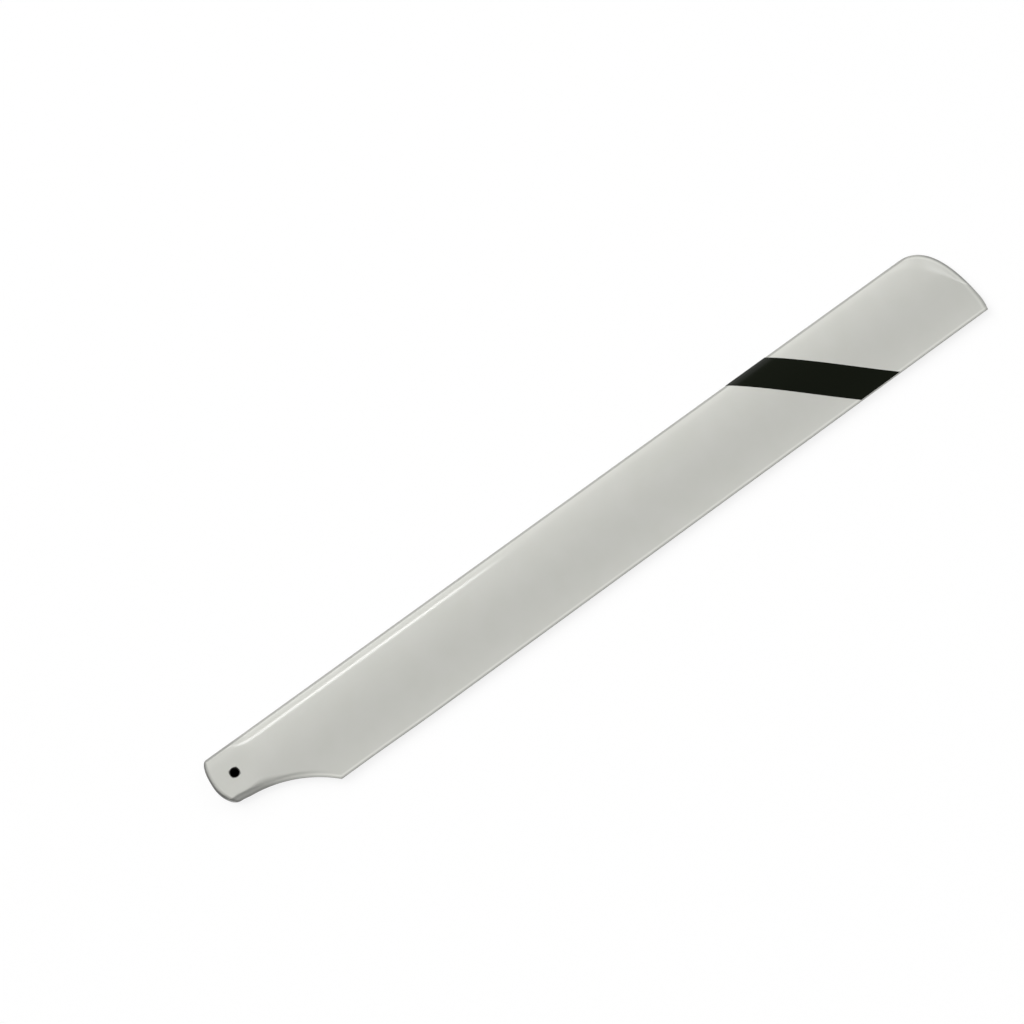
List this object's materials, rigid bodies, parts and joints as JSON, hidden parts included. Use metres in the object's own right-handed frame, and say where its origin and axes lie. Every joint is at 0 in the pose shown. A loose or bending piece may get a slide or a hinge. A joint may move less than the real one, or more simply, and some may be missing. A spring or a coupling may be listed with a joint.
{
  "type": "helicopter rotor blade",
  "caption": "Model helicopter main rotor blade: symmetric aerofoil with a flat drilled root, an arched trailing cut-out, a rolled rounded tip and a slanted black stripe.",
  "frame": {"origin": "middle of the bolt hole at half the root's thickness", "axes": "+X out along the span to the tip, +Y to the leading edge, +Z along the bolt's axis"},
  "size_m": [0.3237, 0.0337, 0.0044],
  "materials": {
    "white_gelcoat": "glossy white gel coat on moulded glass fibre",
    "black_film": "satin black film"
  },
  "bodies": {
    "root": {"blade": "white_gelcoat", "marker_stripe": "black_film"}
  },
  "joints": []
}
